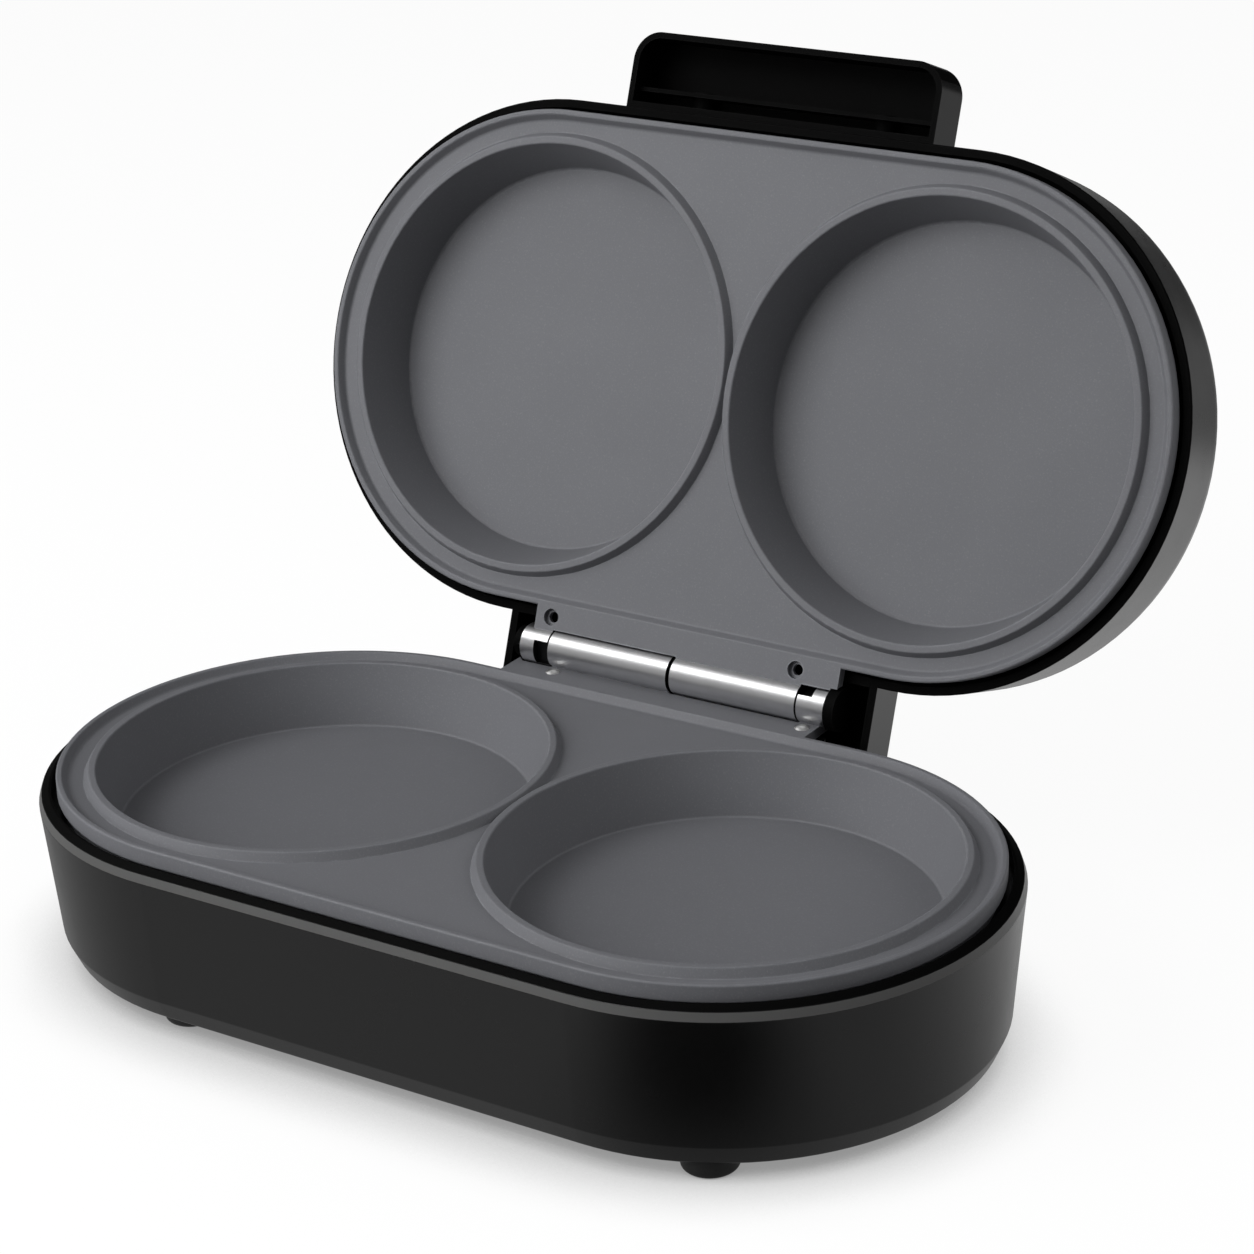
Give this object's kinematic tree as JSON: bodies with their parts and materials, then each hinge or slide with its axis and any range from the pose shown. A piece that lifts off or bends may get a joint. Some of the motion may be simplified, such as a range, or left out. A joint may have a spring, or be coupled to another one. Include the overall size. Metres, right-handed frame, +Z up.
{
  "type": "twin omelette maker",
  "caption": "Countertop omelette maker with round wells in two hinged non-stick plates, black casings and a lid handle",
  "frame": {"origin": "centre of the footprint with the lid open at its stop, on the surface that the feet stand on", "axes": "+X along the two wells, to the right seen from the front; +Y towards the hinge; +Z up"},
  "size_m": [0.285, 0.2399, 0.2285],
  "materials": {
    "black_casing": "satin moulded black",
    "soft_black": "matt black rubber",
    "non_stick_plate": "dark grey non-stick coating on cast aluminium, bare at the hinge barrels",
    "plated_steel": "zinc plated",
    "element_steel": "heat-darkened sheath",
    "reflector_aluminium": "plain sheet",
    "control_resin": "moulded phenolic",
    "pale_resin": "plain moulded",
    "red_lens": "clear red",
    "green_lens": "clear green"
  },
  "bodies": {
    "base": {"base_shell": "black_casing", "base_bottom_cover": "black_casing", "bottom_cover_screws": "plated_steel", "lower_cooking_plate": "non_stick_plate", "hinge_pin": "plated_steel", "hinge_cap_left": "black_casing", "hinge_cap_right": "black_casing", "lower_flange_screws": "plated_steel", "lower_plate_screws": "plated_steel", "lower_heating_element": "element_steel", "lower_element_clips": "plated_steel", "lower_heat_reflector": "plated_steel", "thermostat": "control_resin", "thermal_fuse": "control_resin", "terminal_block": "pale_resin", "cord_inlet_bush": "soft_black", "foot_front_left": "soft_black", "foot_front_right": "soft_black", "foot_rear_left": "soft_black", "foot_rear_right": "soft_black"},
    "lid": {"lid_shell": "black_casing", "upper_cooking_plate": "non_stick_plate", "upper_plate_screws": "plated_steel", "upper_heating_element": "element_steel", "upper_element_clips": "plated_steel", "upper_heat_reflector": "reflector_aluminium", "lid_handle": "black_casing", "handle_screws": "plated_steel", "power_lamp_lens": "red_lens", "ready_lamp_lens": "green_lens", "lamp_board": "pale_resin"}
  },
  "joints": [
    {"name": "lid_hinge", "type": "hinge", "parent": "base", "child": "lid", "pos_m": [0, 0.04064, 0.0586], "axis": [1, 0, 0], "range_deg": [0, 110]}
  ]
}
